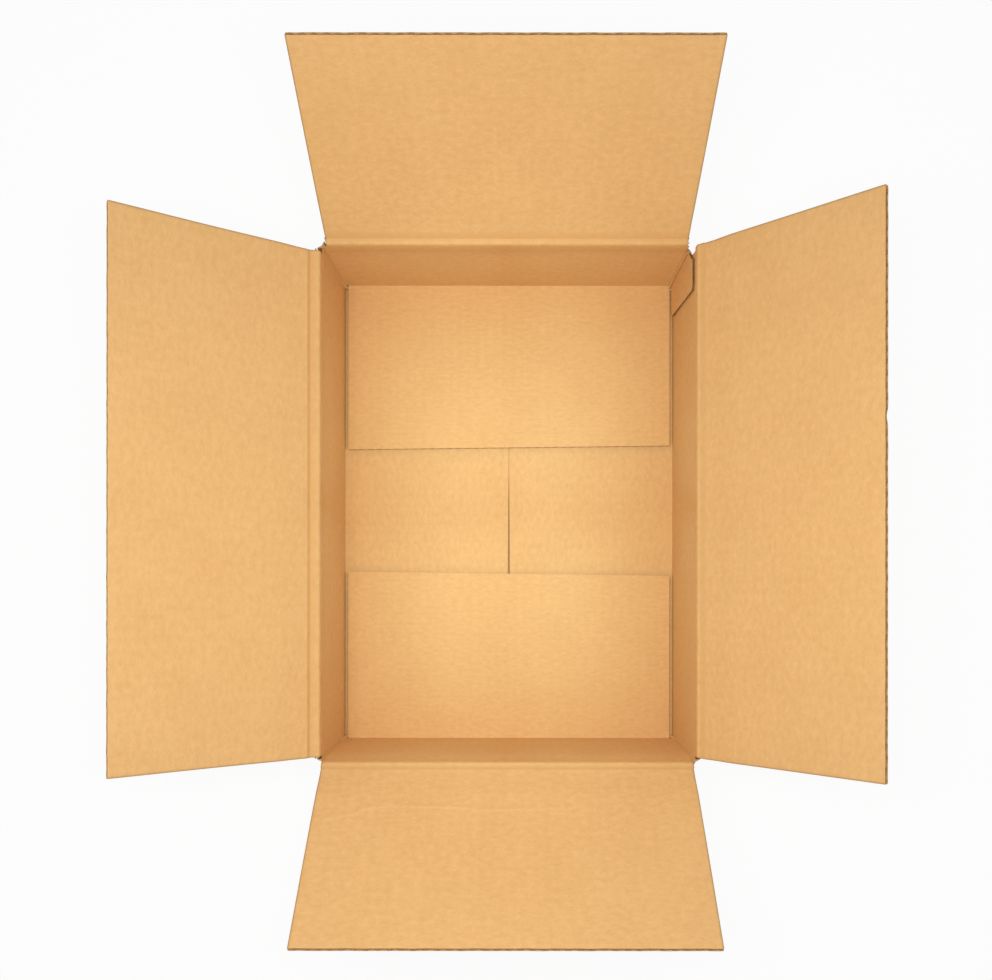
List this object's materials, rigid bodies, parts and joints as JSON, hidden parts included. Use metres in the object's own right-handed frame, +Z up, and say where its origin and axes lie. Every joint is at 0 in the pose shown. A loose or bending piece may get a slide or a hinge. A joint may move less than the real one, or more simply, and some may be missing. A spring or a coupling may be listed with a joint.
{
  "type": "open cardboard box",
  "caption": "Shallow slotted box of brown corrugated board with a closed, taped bottom and all top flaps open on their creases.",
  "frame": {"origin": "middle of the underside of the closed bottom", "axes": "+Z up out of the open top, +Y along the box's length towards the wall that carries the glue tab, +X across its width"},
  "size_m": [0.4974, 0.5707, 0.2278],
  "materials": {
    "kraft_board": "matte, plain brown kraft liner",
    "paper_tape": "satin, brown paper tape"
  },
  "bodies": {
    "box": {"box_body": "kraft_board", "bottom_tape": "paper_tape"},
    "left_flap": {"flap_left": "kraft_board"},
    "right_flap": {"flap_right": "kraft_board"},
    "back_flap": {"flap_back": "kraft_board"},
    "front_flap": {"flap_front": "kraft_board"}
  },
  "joints": [
    {"name": "flap_left_crease", "type": "hinge", "parent": "box", "child": "left_flap", "pos_m": [-0.1428, 0, 0.1133], "axis": [0, -1, 0], "range_deg": [-144.8, 95.2]},
    {"name": "flap_right_crease", "type": "hinge", "parent": "box", "child": "right_flap", "pos_m": [0.1428, 0, 0.1133], "axis": [0, 1, 0], "range_deg": [-131.8, 108.2]},
    {"name": "flap_back_crease", "type": "hinge", "parent": "box", "child": "back_flap", "pos_m": [0, 0.1953, 0.1092], "axis": [-1, 0, 0], "range_deg": [-124.9, 115.1]},
    {"name": "flap_front_crease", "type": "hinge", "parent": "box", "child": "front_flap", "pos_m": [0, -0.1953, 0.1092], "axis": [1, 0, 0], "range_deg": [-133.5, 106.5]}
  ]
}
